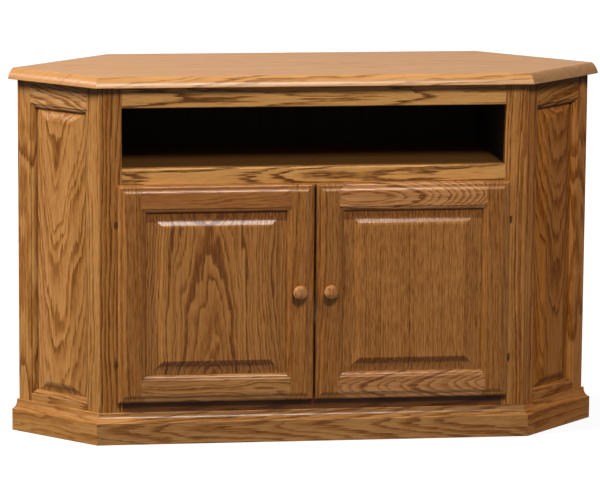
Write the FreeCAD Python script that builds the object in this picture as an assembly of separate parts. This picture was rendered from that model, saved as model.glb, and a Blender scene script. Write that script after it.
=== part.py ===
import FreeCAD, Part
import math
import os

Vec = FreeCAD.Vector

# Corner cabinet in oak. Millimetres, +Z up, the front faces -Y.
# The model is drawn with the face frame's front at y = 0 and moved at the end,
# so that the origin lies under the middle of the whole cabinet, on the floor.

# Stock
board = 19.0              # solid boards of the frames, doors and base
ply = 18.0                # partitions, shelves and floor
back_ply = 6.0            # backs
overrun = 5.0             # how far each cutting tool runs past the wood

# Body plan
front_width = 870.0       # between the two front corners
wing_length = 219.0       # along each wing face
wing_turn = 45.0          # degrees each wing turns back from the front
body_depth = 345.0        # face frame to the back of the rear panel

# Face frame, floor upwards
front_stile = 45.0
bottom_rail = 94.5
door_opening = 427.0
shelf_rail = 41.5
bay_round = 3.0           # rounding of the bay's front edges
bay_opening = 122.0
top_rail = 43.0
tenon_length = 25.0
tenon_cheek = 5.5         # wood in front of and behind a tenon
tenon_shoulder = 6.0      # wood above and below a tenon
mortise_room = 1.0        # free depth past the tenon's end

# Top slab
top_thickness = 22.0
top_overhang = 20.0       # past the front and the wings
wall_overhang = 8.0       # past the wall sides
rear_overhang = 20.0      # past the rear panel
top_nose_width = 15.0     # rounded edge, back from the front
top_nose_height = 21.0    # and down from the top
top_arris = 1.0           # rounded lower edge

# Base moulding
base_height = 63.5
base_face = 44.0          # upright part of its face
base_reach = 3.0          # past the wing's end
base_ledge = 4.5          # flat top of the moulding
base_lip = 1.5            # rounding above the upright face
base_cap = 1.5            # rounding of the top edge
base_cove_share = 0.20    # hollow of the cove, of its chord

# Wing frames
wing_stile = 43.0
wing_top_rail = 58.0
wing_bottom_rail = 88.0
wing_bevel = 24.0         # slope at the sides of the raised field
wing_end_bevel = 13.0     # and above and below it
rabbet_front = 9.0        # wood in front of the angled back in the rear stile

# Moulded inner edge of every frame, and its groove for the panel
stick_width = 8.5
stick_step = 2.0          # rounded step at the face
stick_drop = 8.5
groove_front = 10.0
groove_depth = 9.5
tongue = 5.5              # panel edge in the groove
tongue_room = 1.5         # room for the panel to swell
field_depth = 1.0         # raised field below the frame's face
field_step = 3.3          # eased slope round the field, down
field_ease = 9.0          # and across
bevel_hollow_share = 0.05

# Doors
door_overlay = 9.5
door_gap = 1.6            # door back to face frame
meeting_gap = 3.0
door_stile = 57.0
door_rail = 57.0
door_bevel = 25.0
door_end_bevel = 20.5
door_edge_width = 6.5     # outer rounding
door_edge_flat = 3.0      # between the outer rounding and the step
door_edge_step = 3.5      # eased slope at the face, down
door_edge_ease = 7.5      # and across
door_edge_depth = 8.5

# Hinges
hinge_inset = 80.0        # hinge middle from the door's end
knuckle_radius = 3.0
knuckle_height = 11.0
knuckle_air = 0.3         # knuckle to door edge
knuckle_lift = 0.4        # knuckle to face frame
knuckle_play = 0.1        # between neighbouring knuckles
pin_radius = 1.5
pin_room = 0.05
leaf = 1.5                # sheet thickness
leaf_height = 44.0
door_leaf_width = 25.0
wrap_depth = 16.0         # frame leaf inside the opening
leaf_air = 0.2
hinge_screw_spacing = 28.0
hinge_screw_length = 13.0
hinge_screw_radius = 1.5
hinge_screw_head = 3.0
door_screw_inset = 15.0   # from the door's outer edge
door_screw_length = 11.0

# Knobs
knob_radius = 15.0
knob_projection = 25.0
knob_inset = 30.0         # from the meeting edge
knob_rise = 3.0           # above the middle of the door
knob_screw_radius = 2.0
knob_screw_bite = 12.0    # thread in the knob
knob_screw_head = 4.0
knob_screw_head_height = 2.4

# Catches and bumpers
catch_offset = 90.0       # from the cabinet's middle
catch_width = 44.0
catch_height = 14.0
catch_depth = 17.0
catch_air = 0.1
strike = 1.2
strike_width = 28.0
strike_height = 11.0
bumper_radius = 3.8
bumper = 1.5
bumper_inset = 20.0

# Inside
housing = 6.0             # depth of the grooves that carry shelf and floor
housing_lip = 6.0         # wood taken off above the tongue that sits in a groove
shelf_side_air = 2.5
shelf_front_air = 10.0
shelf_rear_air = 30.0
peg_radius = 3.0
peg_room = 0.05
peg_depth = 10.0
peg_reach = 9.0
collar_radius = 4.5
collar = 1.5
peg_rows = 5
peg_row_used = 2
peg_pitch = 32.0
peg_first = 238.0
peg_inset = 45.0          # from the loose shelf's edges
cleat = 19.0
cleat_screw_length = 32.0
cleat_screw_radius = 2.0
cleat_screw_head = 4.0
cleat_screw_sink = 3.0
screw_room = 0.05
up_screw_shares = (0.14, 0.86)
side_screw_shares = (0.3, 0.7)
cable_notch_width = 110.0
cable_notch_depth = 28.0
cable_hole_radius = 30.0
cable_hole_height = 200.0
back_lift = 40.0          # backs clear of a skirting board

# Shapes of the small mouldings, as shares of the sizes that they follow
stick_bulge_shares = (0.63, 0.285)
door_edge_bulge_shares = (0.38, 0.715)
top_nose_bulge_shares = (0.355, 0.575)
ease_bulge_shares = (0.48, 0.63)
knob_foot_shares = ((0.58, 0.0), (0.58, 0.07))
knob_neck_shares = ((0.46, 0.27), (0.80, 0.44))
knob_rim_shares = ((1.0, 0.64), (0.80, 0.84))
screw_tip_share = 0.2
round_share = 1 - math.sqrt(0.5)    # a quarter round's middle, in from its corner

# Places that follow from the sizes
half_front = front_width / 2
half_opening = half_front - front_stile
opening_base = bottom_rail
opening_top = opening_base + door_opening
bay_base = opening_top + shelf_rail
bay_top = bay_base + bay_opening
body_height = bay_top + top_rail
turn = math.radians(wing_turn)
mitre = math.tan(turn / 2)
rear_face = body_depth - back_ply
door_outer = half_opening + door_overlay
door_inner = meeting_gap / 2
door_base = opening_base - door_overlay
door_top = opening_top + door_overlay
door_face = -(door_gap + board)
knob_place = Vec(door_inner + knob_inset, door_face, (door_base + door_top) / 2 + knob_rise)
pin_x = door_outer + knuckle_air + knuckle_radius
pin_y = -(knuckle_lift + knuckle_radius)
hinge_places = (door_base + hinge_inset, door_top - hinge_inset)
tongue_reach = groove_depth - tongue_room
groove_back = groove_front + tongue
middle_y = (body_depth + rear_overhang + door_face - knob_projection) / 2

along_x = Vec(1, 0, 0)
along_y = Vec(0, 1, 0)
along_z = Vec(0, 0, 1)


# Drawing helpers

def block(x0, x1, y0, y1, z0, z1):
    return Part.makeBox(x1 - x0, y1 - y0, z1 - z0, Vec(x0, y0, z0))


def sweep(face, way):
    solid = face.extrude(way)
    if solid.Volume < 0:
        solid.reverse()
    return solid


def prism(points, low, high):
    corners = [Vec(x, y, low) for x, y in points]
    return sweep(Part.Face(Part.makePolygon(corners + corners[:1])), along_z * (high - low))


def section(start, steps, place):
    # A step of one point is a straight line, a step of two is an arc through the first to the second
    edges = []
    here = start
    for step in steps:
        if len(step) == 1:
            edge = Part.LineSegment(place(*here), place(*step[0]))
        else:
            edge = Part.Arc(place(*here), place(*step[0]), place(*step[1]))
        edges.append(edge.toShape())
        here = step[-1]
    return Part.Face(Part.Wire(edges))


def between(start, end, across_share, down_share):
    return (start[0] + (end[0] - start[0]) * across_share, start[1] + (end[1] - start[1]) * down_share)


def midway(start, end):
    return (start[0] + end[0]) / 2, (start[1] + end[1]) / 2


def round_over(inset, radius):
    # Quarter round that rises from a wall at inset, radius below the face, to the face
    return [(inset + radius * round_share, radius * round_share), (inset + radius, 0)]


def edge_cutter(corner, along, inward, down, length, depth, steps):
    # Waste outside a moulded edge, which climbs from the outer edge, depth below the face, to the face
    def place(inset, sink):
        return corner - along * overrun + inward * inset + down * sink

    last = steps[-1][-1][0]
    close = [[(last, -overrun)], [(-overrun, -overrun)], [(-overrun, depth)]]
    path = [[(0, depth)]] + steps + close
    return sweep(section((-overrun, depth), path, place), along * (length + 2 * overrun))


def mould_rectangle(slab, x0, x1, z0, z1, face, depth, end_steps, side_steps):
    wide, tall = x1 - x0, z1 - z0
    edges = (
        (Vec(x0, face, z0), along_x, along_z, wide, end_steps),
        (Vec(x0, face, z1), along_x, -along_z, wide, end_steps),
        (Vec(x0, face, z0), along_z, along_x, tall, side_steps),
        (Vec(x1, face, z0), along_z, -along_x, tall, side_steps),
    )
    for corner, along, inward, length, steps in edges:
        slab = slab.cut(edge_cutter(corner, along, inward, along_y, length, depth, steps))
    return slab


def aim(shape, start, way):
    shape.Placement = FreeCAD.Placement(start, FreeCAD.Rotation(along_z, way))
    return shape


def rod(start, way, length, radius):
    return aim(Part.makeCylinder(radius, length), start, way)


def wood_screw(start, way, length, radius, head, sink, room):
    # Countersunk head flush at start, shank and a short point along way
    tip = length * screw_tip_share
    shank = Part.makeCylinder(radius + room, length - tip)
    point = Part.makeCone(radius + room, room, tip, Vec(0, 0, length - tip))
    cone = Part.makeCone(head + room, radius + room, sink)
    return aim(shank.fuse([point, cone]).removeSplitter(), start, way)


def mirrored(shape):
    return shape.mirror(Vec(0, 0, 0), along_x)


def group(shapes):
    return Part.makeCompound(shapes)


def wing_point(u, v):
    # u runs along the right wing from the front corner, v runs into the cabinet
    x = half_front + u * math.cos(turn) - v * math.sin(turn)
    y = u * math.sin(turn) + v * math.cos(turn)
    return x, y


def on_wing(shape):
    shape = shape.copy()
    shape.rotate(Vec(0, 0, 0), along_z, wing_turn)
    shape.translate(Vec(half_front, 0, 0))
    return shape


def wall_x(u, y):
    # Where the line of constant u reaches the depth y
    v = (y - u * math.sin(turn)) / math.cos(turn)
    return wing_point(u, v)[0]


def write(name, shape):
    shape = shape.copy()
    shape.translate(Vec(0, -middle_y, 0))
    shape.exportStep(os.path.join("parts", name + ".step"))
    print(name, len(shape.Solids), "solids", shape.isValid(), round(shape.Volume))


def write_pair(name, right):
    write("right_" + name, right)
    write("left_" + name, mirrored(right))


# Frame and panel work, shared by wings and doors

def member(width, way, place):
    land = width - stick_width
    floor = width - groove_depth
    end = (width, stick_drop)
    bulge = between((land, stick_step), end, *stick_bulge_shares)
    corner = stick_step * round_share
    steps = [
        [(land - stick_step, 0)], [(land - corner, corner), (land, stick_step)], [bulge, end],
        [(width, groove_front)], [(floor, groove_front)], [(floor, groove_back)], [(width, groove_back)],
        [(width, board)], [(0, board)], [(0, 0)],
    ]
    return sweep(section((0, 0), steps, place), way)


def panel_slope(bevel):
    # Depths are counted from the field, which lies below the frame's face
    foot = (tongue_reach, groove_front - field_depth)
    brow = (tongue_reach + bevel, field_step)
    middle = midway(foot, brow)
    hollow = (middle[0], middle[1] + bevel * bevel_hollow_share)
    rim = (brow[0] + field_ease, 0)
    return [[foot], [hollow, brow], [between(brow, rim, *ease_bulge_shares), rim]]


def raised_panel(x0, x1, z0, z1, bevel, end_bevel):
    x0, x1 = x0 - tongue_reach, x1 + tongue_reach
    z0, z1 = z0 - tongue_reach, z1 + tongue_reach
    slab = block(x0, x1, field_depth, groove_back, z0, z1)
    ends, sides = panel_slope(end_bevel), panel_slope(bevel)
    return mould_rectangle(slab, x0, x1, z0, z1, field_depth, groove_front - field_depth, ends, sides)


def frame_and_panel(x0, x1, z0, z1, stile, low_rail, high_rail, bevel, end_bevel):
    tall = along_z * (z1 - z0)
    first = member(stile, tall, lambda n, d: Vec(x0 + n, d, z0))
    last = member(stile, tall, lambda n, d: Vec(x1 - n, d, z0))
    rail_start = x0 + stile - groove_depth
    wide = along_x * (x1 - stile + groove_depth - rail_start)
    low = member(low_rail, wide, lambda n, d: Vec(rail_start, d, z0 + n)).cut([first, last])
    high = member(high_rail, wide, lambda n, d: Vec(rail_start, d, z1 - n)).cut([first, last])
    panel = raised_panel(x0 + stile, x1 - stile, z0 + low_rail, z1 - high_rail, bevel, end_bevel)
    return {"first": first, "last": last, "low": low, "high": high, "panel": panel}


# Face frame

def rail_tenon(z0, z1, room):
    reach = half_opening + tenon_length + room
    return block(-reach, reach, tenon_cheek, board - tenon_cheek, z0 + tenon_shoulder, z1 - tenon_shoulder)


rail_heights = {
    "face_bottom_rail": (0, opening_base),
    "face_shelf_rail": (opening_top, bay_base),
    "face_top_rail": (bay_top, body_height),
}


def bay_edge(corner, along, inward, length):
    # Rounded arris of the bay's opening, no longer than the side that it follows
    start, run = corner + along * overrun, length - 2 * overrun
    return edge_cutter(start, along, inward, along_y, run, bay_round, [round_over(0, bay_round)])


def face_rail(z0, z1):
    rail = block(-half_opening, half_opening, 0, board, z0, z1)
    for level, inward in ((bay_base, -along_z), (bay_top, along_z)):
        if level in (z0, z1):
            rail = rail.cut(bay_edge(Vec(-half_opening, 0, level), along_x, inward, 2 * half_opening))
    return rail.fuse(rail_tenon(z0, z1, 0)).removeSplitter()


def face_stile():
    inner = half_front - board * mitre
    plan = [(half_opening, 0), (half_front, 0), (inner, board), (half_opening, board)]
    stile = prism(plan, 0, body_height)
    for z0, z1 in rail_heights.values():
        stile = stile.cut(rail_tenon(z0, z1, mortise_room))
    return stile.cut(bay_edge(Vec(half_opening, 0, bay_base), along_z, along_x, bay_top - bay_base))


# Wings, drawn flat and then turned into place

def wing():
    boards = (wing_stile, wing_bottom_rail, wing_top_rail, wing_bevel, wing_end_bevel)
    parts = frame_and_panel(0, wing_length, 0, body_height, *boards)
    plan = [(0, 0), (wing_stile, 0), (wing_stile, board), (board * mitre, board)]
    parts["first"] = parts["first"].common(prism(plan, 0, body_height))
    rabbet = block(wing_length - back_ply, wing_length + overrun, rabbet_front, board + overrun,
                   back_lift, body_height + overrun)
    parts["last"] = parts["last"].cut(rabbet)
    return {name: on_wing(shape) for name, shape in parts.items()}


# Base moulding

def base_run(start, length):
    outer = (board - base_lip, base_face + base_lip)
    inner = (base_ledge, base_height - base_cap)
    chord = math.hypot(outer[0] - inner[0], outer[1] - inner[1])
    hollow = chord * base_cove_share
    middle = midway(outer, inner)
    across, rise = outer[0] - inner[0], inner[1] - outer[1]
    cove = (middle[0] - hollow * rise / chord, middle[1] - hollow * across / chord)
    lip = (board - base_lip * round_share, outer[1] - base_lip * round_share)
    cap_end = (base_ledge - base_cap, base_height)
    cap = (base_ledge - base_cap * round_share, base_height - base_cap * round_share)
    steps = [
        [(board, 0)], [(board, base_face)], [lip, outer], [cove, inner], [cap, cap_end],
        [(0, base_height)], [(0, 0)],
    ]
    face = section((0, 0), steps, lambda out, up: Vec(start, -out, up))
    return sweep(face, along_x * length)


def base_front():
    corner = half_front + board * mitre
    plan = [(-half_front, 0), (half_front, 0), (corner, -board), (-corner, -board)]
    return base_run(-corner, 2 * corner).common(prism(plan, 0, base_height))


def base_wing():
    start = -board * mitre
    end = wing_length + base_reach
    plan = [(0, 0), (end, 0), (end, -board), (start, -board)]
    return on_wing(base_run(start, end - start).common(prism(plan, 0, base_height)))


# Top slab

def top_slab():
    tip_u = wing_length + wall_overhang
    rear = body_depth + rear_overhang
    front_corner = (half_front + top_overhang * mitre, -top_overhang)
    right = [front_corner, wing_point(tip_u, -top_overhang), (wall_x(tip_u, rear), rear)]
    left = [(-x, y) for x, y in reversed(right)]
    slab = prism(right + left, body_height, body_height + top_thickness)
    start, end = (0, top_nose_height), (top_nose_width, 0)
    steps = [[between(start, end, *top_nose_bulge_shares), end]]
    ease = [round_over(0, top_arris)]
    front_x = front_corner[0]
    run_start = wing_point(-top_overhang * mitre, -top_overhang)
    wing_run = tip_u + top_overhang * mitre
    along_wing = Vec(math.cos(turn), math.sin(turn), 0)
    into_wing = Vec(-math.sin(turn), math.cos(turn), 0)
    high = body_height + top_thickness
    upper, lower = (high, -along_z, top_nose_height, steps), (body_height, along_z, top_arris, ease)
    for z, down, depth, path in (upper, lower):
        front_start = Vec(-front_x, -top_overhang, z)
        front = edge_cutter(front_start, along_x, along_y, down, 2 * front_x, depth, path)
        wing_cut = edge_cutter(Vec(*run_start, z), along_wing, into_wing, down, wing_run, depth, path)
        slab = slab.cut([front, wing_cut, mirrored(wing_cut)])
    return slab


# Inside: partitions, shelves, backs and cleats

def inside(shape):
    # Trims a piece to the room between the face frame, the wings and the backs
    inner_u = wing_length - back_ply
    front_corner = (half_front - board * mitre, board)
    right = [front_corner, wing_point(inner_u, board), (wall_x(inner_u, rear_face), rear_face)]
    left = [(-x, y) for x, y in reversed(right)]
    return shape.common(prism(right + left, 0, body_height))


def partition():
    side = inside(block(half_opening, half_opening + ply, board, rear_face, 0, body_height))
    for level in (bay_base, opening_base):
        groove_end = half_opening + housing
        groove_top = level - housing_lip
        side = side.cut(block(half_opening, groove_end, board, rear_face, level - ply, groove_top))
    holes = [
        rod(Vec(half_opening - overrun, y, peg_first + row * peg_pitch), along_x,
            overrun + peg_depth + peg_room, peg_radius + peg_room)
        for row in range(peg_rows) for y in peg_lines()
    ]
    return side.cut(holes)


def housed_shelf(level):
    reach = half_opening + housing
    tongue_top = level - housing_lip
    lower = block(-reach, reach, board, rear_face, level - ply, tongue_top)
    upper = block(-half_opening, half_opening, board, rear_face, tongue_top, level)
    return inside(lower.fuse(upper).removeSplitter())


def bay_shelf():
    half = cable_notch_width / 2
    notch = block(-half, half, rear_face - cable_notch_depth, rear_face + overrun,
                  bay_base - ply - overrun, bay_base + overrun)
    return housed_shelf(bay_base).cut(notch)


shelf_front = board + shelf_front_air
shelf_rear = rear_face - shelf_rear_air
peg_level = peg_first + peg_row_used * peg_pitch


def peg_lines():
    return shelf_front + peg_inset, shelf_rear - peg_inset


def loose_shelf():
    reach = half_opening - shelf_side_air
    low = peg_level + peg_radius
    return inside(block(-reach, reach, shelf_front, shelf_rear, low, low + ply))


def shelf_pegs():
    pegs = []
    for y in peg_lines():
        start = Vec(half_opening - peg_reach, y, peg_level)
        peg = rod(start, along_x, peg_reach + peg_depth, peg_radius)
        ring = rod(Vec(half_opening - collar, y, peg_level), along_x, collar, collar_radius)
        lowered = block(half_opening - collar, half_opening, y - collar_radius, y + collar_radius,
                        peg_level + peg_radius, peg_level + collar_radius)
        pegs.append(peg.fuse(ring.cut(lowered)).removeSplitter())
    return pegs


def back_panel():
    near, far = wall_x(wing_length, rear_face), wall_x(wing_length, body_depth)
    plan = [(-near, rear_face), (near, rear_face), (far, body_depth), (-far, body_depth)]
    drill_start = Vec(0, rear_face - overrun, cable_hole_height)
    hole = rod(drill_start, along_y, back_ply + 2 * overrun, cable_hole_radius)
    return prism(plan, back_lift, body_height).cut(hole)


def angled_back():
    inner_u = wing_length - back_ply
    plan = [
        wing_point(inner_u, rabbet_front), wing_point(wing_length, rabbet_front),
        (wall_x(wing_length, rear_face), rear_face), (wall_x(inner_u, rear_face), rear_face),
    ]
    return prism(plan, back_lift, body_height)


def side_cleat():
    inner = half_opening - cleat
    return inside(block(inner, half_opening, board, rear_face, body_height - cleat, body_height))


def rear_cleat():
    reach = half_opening - cleat
    front, low = rear_face - cleat, body_height - cleat
    return inside(block(-reach, reach, front, rear_face, low, body_height))


def cleat_screws(room):
    span = rear_face - board
    middle = cleat / 2
    sizes = (cleat_screw_length, cleat_screw_radius, cleat_screw_head, cleat_screw_sink, room)
    screws = []
    for share in up_screw_shares:
        start = Vec(half_opening - middle, board + span * share, body_height - cleat)
        screws.append(wood_screw(start, along_z, *sizes))
    for share in side_screw_shares:
        start = Vec(half_opening - cleat, board + span * share, body_height - middle)
        screws.append(wood_screw(start, along_x, *sizes))
    return screws


# Hinges of the right door

def knuckles(z):
    # Three knuckles on one pin: the middle one is the frame's, the outer two are the door's
    third = knuckle_height / 3
    low = z - knuckle_height / 2
    return [(low + i * third + knuckle_play / 2, low + (i + 1) * third - knuckle_play / 2) for i in range(3)]


def barrel(span):
    low, high = span
    return rod(Vec(pin_x, pin_y, low), along_z, high - low, knuckle_radius)


def pin_bore(z):
    length = knuckle_height + 2 * overrun
    return rod(Vec(pin_x, pin_y, z - length / 2), along_z, length, pin_radius + pin_room)


def hinge_pin(z):
    return rod(Vec(pin_x, pin_y, z - knuckle_height / 2), along_z, knuckle_height, pin_radius)


def frame_leaf(z):
    low, high = z - leaf_height / 2, z + leaf_height / 2
    middle = knuckles(z)[1]
    flat = block(half_opening, door_outer - leaf_air, -leaf, 0, low, high)
    wrap = block(half_opening - leaf, half_opening, -leaf, wrap_depth, low, high)
    neck = block(half_opening, pin_x, -leaf, 0, *middle)
    return flat.fuse([wrap, neck, barrel(middle)]).cut(pin_bore(z)).removeSplitter()


def door_leaf_plate(z):
    low, high = z - leaf_height / 2, z + leaf_height / 2
    return block(door_outer - door_leaf_width, door_outer, -door_gap - leaf, -door_gap, low, high)


def door_leaf(z):
    solid = door_leaf_plate(z)
    for span in knuckles(z)[::2]:
        neck = block(door_outer - leaf_air, pin_x, -door_gap - leaf, -door_gap, *span)
        solid = solid.fuse([neck, barrel(span)])
    return solid.cut(pin_bore(z)).removeSplitter()


def screw_levels(z):
    return z - hinge_screw_spacing / 2, z + hinge_screw_spacing / 2


def frame_screws(z, room):
    sizes = (hinge_screw_length, hinge_screw_radius, hinge_screw_head, leaf, room)
    start = half_opening - leaf
    return [wood_screw(Vec(start, wrap_depth / 2, level), along_x, *sizes) for level in screw_levels(z)]


def door_screws(z, room):
    sizes = (door_screw_length, hinge_screw_radius, hinge_screw_head, leaf, room)
    place = door_outer - door_screw_inset
    return [wood_screw(Vec(place, -door_gap, level), -along_y, *sizes) for level in screw_levels(z)]


# Right door and what it carries

def door():
    boards = (door_stile, door_rail, door_rail, door_bevel, door_end_bevel)
    parts = frame_and_panel(door_inner, door_outer, door_base, door_top, *boards)
    blank = block(door_inner, door_outer, 0, board, door_base, door_top)
    start, end = (0, door_edge_depth), (door_edge_width, door_edge_step)
    bulge = between(start, end, *door_edge_bulge_shares)
    shoulder = (door_edge_width + door_edge_flat, door_edge_step)
    rim = (shoulder[0] + door_edge_ease, 0)
    steps = [[bulge, end], [shoulder], [between(shoulder, rim, *ease_bulge_shares), rim]]
    outline = door_inner, door_outer, door_base, door_top
    blank = mould_rectangle(blank, *outline, 0, door_edge_depth, steps, steps)
    for name in ("first", "last", "low", "high"):
        parts[name] = parts[name].common(blank)
    for shape in parts.values():
        shape.translate(Vec(0, door_face, 0))
    for z in hinge_places:
        parts["last"] = parts["last"].cut([door_leaf_plate(z)] + door_screws(z, screw_room))
    parts["first"] = parts["first"].cut(knob_screw(screw_room))
    return parts


def knob():
    def sized(share):
        return share[0] * knob_radius, share[1] * knob_projection

    steps = [[sized(share) for share in shares] for shares in (knob_neck_shares, knob_rim_shares)]
    # the dome is part of a ball on the knob's own axis
    brow_radius, brow_out = steps[-1][-1]
    rise = knob_projection - brow_out
    ball = (brow_radius ** 2 + rise ** 2) / (2 * rise)
    half_angle = math.asin(brow_radius / ball) / 2
    crown = (ball * math.sin(half_angle), knob_projection - ball * (1 - math.cos(half_angle)))
    foot = [[sized(share)] for share in knob_foot_shares]
    outline = foot + steps + [[crown, (0, knob_projection)], [(0, 0)]]
    face = section((0, 0), outline, lambda radius, out: Vec(radius, 0, out))
    turned = face.revolve(Vec(0, 0, 0), along_z, 360)
    return aim(turned, knob_place, -along_y).cut(knob_screw(screw_room))


def knob_screw(room):
    start = knob_place + along_y * board
    shank = rod(start, -along_y, board + knob_screw_bite + room, knob_screw_radius + room)
    head = rod(start, along_y, knob_screw_head_height, knob_screw_head)
    return shank.fuse(head).removeSplitter()


def strike_plate():
    middle = opening_top - catch_height / 2
    half_wide, half_tall = strike_width / 2, strike_height / 2
    return block(catch_offset - half_wide, catch_offset + half_wide, -door_gap, strike - door_gap,
                 middle - half_tall, middle + half_tall)


def magnet_catch():
    front = strike - door_gap + catch_air
    return block(catch_offset - catch_width / 2, catch_offset + catch_width / 2, front, catch_depth,
                 opening_top - catch_height, opening_top)


def bumpers():
    x = door_inner + bumper_inset
    edge = door_overlay / 2
    levels = (door_base + edge, door_top - edge)
    return [rod(Vec(x, -door_gap, z), along_y, bumper, bumper_radius) for z in levels]


# Build and write every piece

os.makedirs("parts", exist_ok=True)

right_screws, right_bores = cleat_screws(0), cleat_screws(screw_room)
all_bores = right_bores + [mirrored(s) for s in right_bores]
write("top_panel", top_slab().cut(all_bores))

for name, (z0, z1) in rail_heights.items():
    write(name, face_rail(z0, z1))
stile = face_stile()
for z in hinge_places:
    stile = stile.cut(frame_screws(z, screw_room))
write_pair("face_stile", stile)

wing_parts = wing()
shared_names = {"low": "bottom_rail", "high": "top_rail", "panel": "panel"}
wing_names = {"first": "front_stile", "last": "rear_stile", **shared_names}
for key, name in wing_names.items():
    write_pair("wing_" + name, wing_parts[key])

write("base_front", base_front())
write_pair("base_wing", base_wing())

write_pair("partition", partition().cut(right_bores))
write("bay_shelf", bay_shelf())
write("cabinet_floor", housed_shelf(opening_base))
write("loose_shelf", loose_shelf())
right_pegs = shelf_pegs()
write("shelf_pegs", group(right_pegs + [mirrored(p) for p in right_pegs]))
write("back_panel", back_panel())
write_pair("angled_back", angled_back())
write_pair("top_cleat", side_cleat().cut(right_bores))
write("rear_cleat", rear_cleat())
write("cleat_screws", group(right_screws + [mirrored(s) for s in right_screws]))

door_parts = door()
door_names = {"first": "meeting_stile", "last": "hinge_stile", **shared_names}
for key, name in door_names.items():
    write_pair("door_" + name, door_parts[key])
write_pair("knob", knob())
write_pair("knob_screw", knob_screw(0))
write_pair("strike_plate", strike_plate())
write_pair("door_bumpers", group(bumpers()))

frame_leaves, door_leaves, pins, in_frame, in_door = [], [], [], [], []
for z in hinge_places:
    frame_leaves.append(frame_leaf(z).cut(frame_screws(z, screw_room)))
    door_leaves.append(door_leaf(z).cut(door_screws(z, screw_room)))
    pins.append(hinge_pin(z))
    in_frame += frame_screws(z, 0)
    in_door += door_screws(z, 0)
write_pair("hinge_frame_leaves", group(frame_leaves))
write_pair("hinge_door_leaves", group(door_leaves))
write_pair("hinge_door_screws", group(in_door))
write("hinge_frame_screws", group(in_frame + [mirrored(s) for s in in_frame]))
write("hinge_pins", group(pins + [mirrored(p) for p in pins]))
catch = magnet_catch()
write("door_catches", group([catch, mirrored(catch)]))
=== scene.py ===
import math

import bpy
import numpy as np
from mathutils import Matrix, Vector


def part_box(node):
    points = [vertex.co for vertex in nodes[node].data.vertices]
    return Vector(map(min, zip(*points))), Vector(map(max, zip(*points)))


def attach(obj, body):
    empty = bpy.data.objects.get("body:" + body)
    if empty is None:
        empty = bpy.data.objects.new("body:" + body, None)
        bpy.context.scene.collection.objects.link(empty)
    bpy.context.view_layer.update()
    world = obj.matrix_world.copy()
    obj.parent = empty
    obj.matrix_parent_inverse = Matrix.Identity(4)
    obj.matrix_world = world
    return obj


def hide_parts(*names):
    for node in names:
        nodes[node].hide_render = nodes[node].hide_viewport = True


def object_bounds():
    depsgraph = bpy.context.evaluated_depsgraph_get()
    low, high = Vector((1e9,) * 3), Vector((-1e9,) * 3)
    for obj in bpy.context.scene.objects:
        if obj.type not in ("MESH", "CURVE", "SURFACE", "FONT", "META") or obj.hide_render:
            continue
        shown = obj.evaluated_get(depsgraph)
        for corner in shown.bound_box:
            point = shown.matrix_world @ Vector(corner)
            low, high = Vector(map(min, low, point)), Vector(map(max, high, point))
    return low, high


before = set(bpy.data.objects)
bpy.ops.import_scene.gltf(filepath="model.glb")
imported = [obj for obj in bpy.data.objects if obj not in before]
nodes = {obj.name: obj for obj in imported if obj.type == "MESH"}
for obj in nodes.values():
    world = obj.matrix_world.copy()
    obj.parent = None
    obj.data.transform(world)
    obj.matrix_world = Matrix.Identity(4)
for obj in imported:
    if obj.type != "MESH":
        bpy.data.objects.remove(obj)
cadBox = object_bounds()
scene = bpy.context.scene
scene.view_settings.view_transform = "Standard"
print("frame loaded:", len(nodes), "nodes")


# camera at the photograph's viewing angle; pan, tilt and roll are the small turns of the aim
photoCamera = {
    "lens": 219.9, "sensor": 36.0, "clip": (0.1, 100.0), "target": (0.0, 0.0403, 0.370), "distance": 7.624,
    "azimuth": -7.48, "elevation": 9.98, "pan": 0.021, "tilt": 0.099, "roll": 0.41,
}


def backward(azimuth, elevation):
    # unit vector from the target to the viewer
    a, e = math.radians(azimuth), math.radians(elevation)
    return Vector((math.sin(a) * math.cos(e), -math.cos(a) * math.cos(e), math.sin(e)))


def placeCamera(view):
    data = bpy.data.cameras.new("photoCamera")
    data.lens, data.sensor_width = view["lens"], view["sensor"]
    data.clip_start, data.clip_end = view["clip"]
    camera = bpy.data.objects.new("photoCamera", data)
    scene.collection.objects.link(camera)
    stand = Vector(view["target"]) + backward(view["azimuth"], view["elevation"]) * view["distance"]
    back = backward(view["azimuth"] + view["pan"], view["elevation"] + view["tilt"])
    right = Vector((0, 0, 1)).cross(back).normalized()
    up = back.cross(right)
    roll = math.radians(view["roll"])
    side = right * math.cos(roll) + up * math.sin(roll)
    top = up * math.cos(roll) - right * math.sin(roll)
    turn = Matrix((side, top, back)).transposed().to_4x4()
    camera.matrix_world = Matrix.Translation(stand) @ turn
    scene.camera = camera


placeCamera(photoCamera)


# node helpers: a socket takes a link from another socket, or a plain value
def feed(tree, socket, value):
    if isinstance(value, bpy.types.NodeSocket):
        tree.links.new(value, socket)
    else:
        socket.default_value = value


def add(tree, kind, settings=None, **inputs):
    node = tree.nodes.new("ShaderNode" + kind)
    for key, value in (settings or {}).items():
        setattr(node, key, value)
    for key, value in inputs.items():
        feed(tree, node.inputs[key.replace("_", " ")], value)
    return node


def calc(tree, operation, *terms):
    node = add(tree, "Math", {"operation": operation})
    for socket, term in zip(node.inputs, terms):
        feed(tree, socket, term)
    return node.outputs[0]


def blend(tree, share, first, second, mode="MIX"):
    node = add(tree, "Mix", {"data_type": "RGBA", "blend_type": mode})
    # of the node's sockets, these three are the share and the two colours
    for socket, term in zip((node.inputs[0], node.inputs[6], node.inputs[7]), (share, first, second)):
        feed(tree, socket, term)
    return node.outputs[2]


def stretch(tree, vector, scale):
    node = add(tree, "VectorMath", {"operation": "MULTIPLY"})
    feed(tree, node.inputs[0], vector)
    feed(tree, node.inputs[1], scale)
    return node.outputs[0]


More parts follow.
